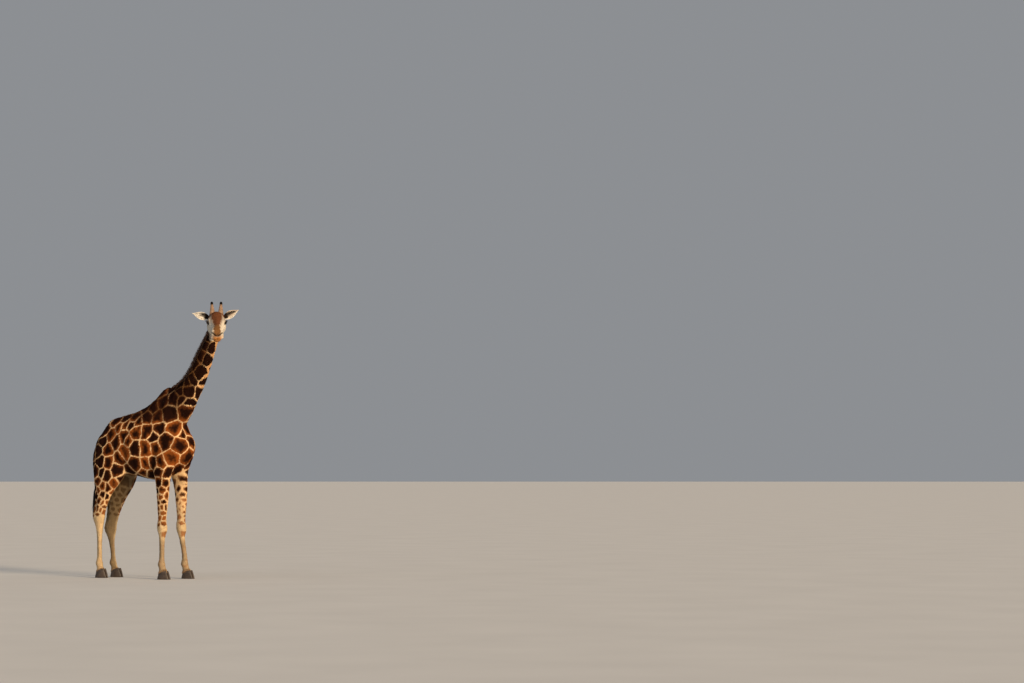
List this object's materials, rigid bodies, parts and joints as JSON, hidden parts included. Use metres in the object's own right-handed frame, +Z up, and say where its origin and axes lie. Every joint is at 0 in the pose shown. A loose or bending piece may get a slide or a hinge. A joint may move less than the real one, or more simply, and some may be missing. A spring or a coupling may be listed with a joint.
{
  "type": "giraffe",
  "caption": "Life-size still model of a standing giraffe with patched coat, upright mane, ossicones and tufted tail, its head turned to its right.",
  "frame": {"origin": "on the floor under the middle of the whole animal's bounding box", "axes": "+Z up, +X the way the trunk faces, +Y the animal's left"},
  "size_m": [2.7229, 0.7939, 3.9637],
  "materials": {
    "patched_coat": "short glossy hair in dark brown patches parted by narrow cream lines",
    "cream_coat": "short plain cream hair",
    "dark_hair": "stiff dark brown to black hair",
    "hoof_horn": "dry grey-brown horn with fine growth rings",
    "wet_eye": "wet, nearly black eye"
  },
  "bodies": {
    "root": {"ear_left": "cream_coat", "ear_right": "cream_coat", "eye_left": "wet_eye", "eye_right": "wet_eye", "foreleg_left_hoof": "hoof_horn", "foreleg_left_shank": "cream_coat", "foreleg_left_upper": "patched_coat", "foreleg_right_hoof": "hoof_horn", "foreleg_right_shank": "cream_coat", "foreleg_right_upper": "patched_coat", "head": "patched_coat", "hindleg_left_hoof": "hoof_horn", "hindleg_left_shank": "cream_coat", "hindleg_left_upper": "patched_coat", "hindleg_right_hoof": "hoof_horn", "hindleg_right_shank": "cream_coat", "hindleg_right_upper": "patched_coat", "mane_lower": "dark_hair", "mane_upper": "dark_hair", "neck_lower": "patched_coat", "neck_upper": "patched_coat", "ossicone_left": "patched_coat", "ossicone_right": "patched_coat", "tail": "patched_coat", "tail_brush": "dark_hair", "trunk": "patched_coat"}
  },
  "joints": []
}
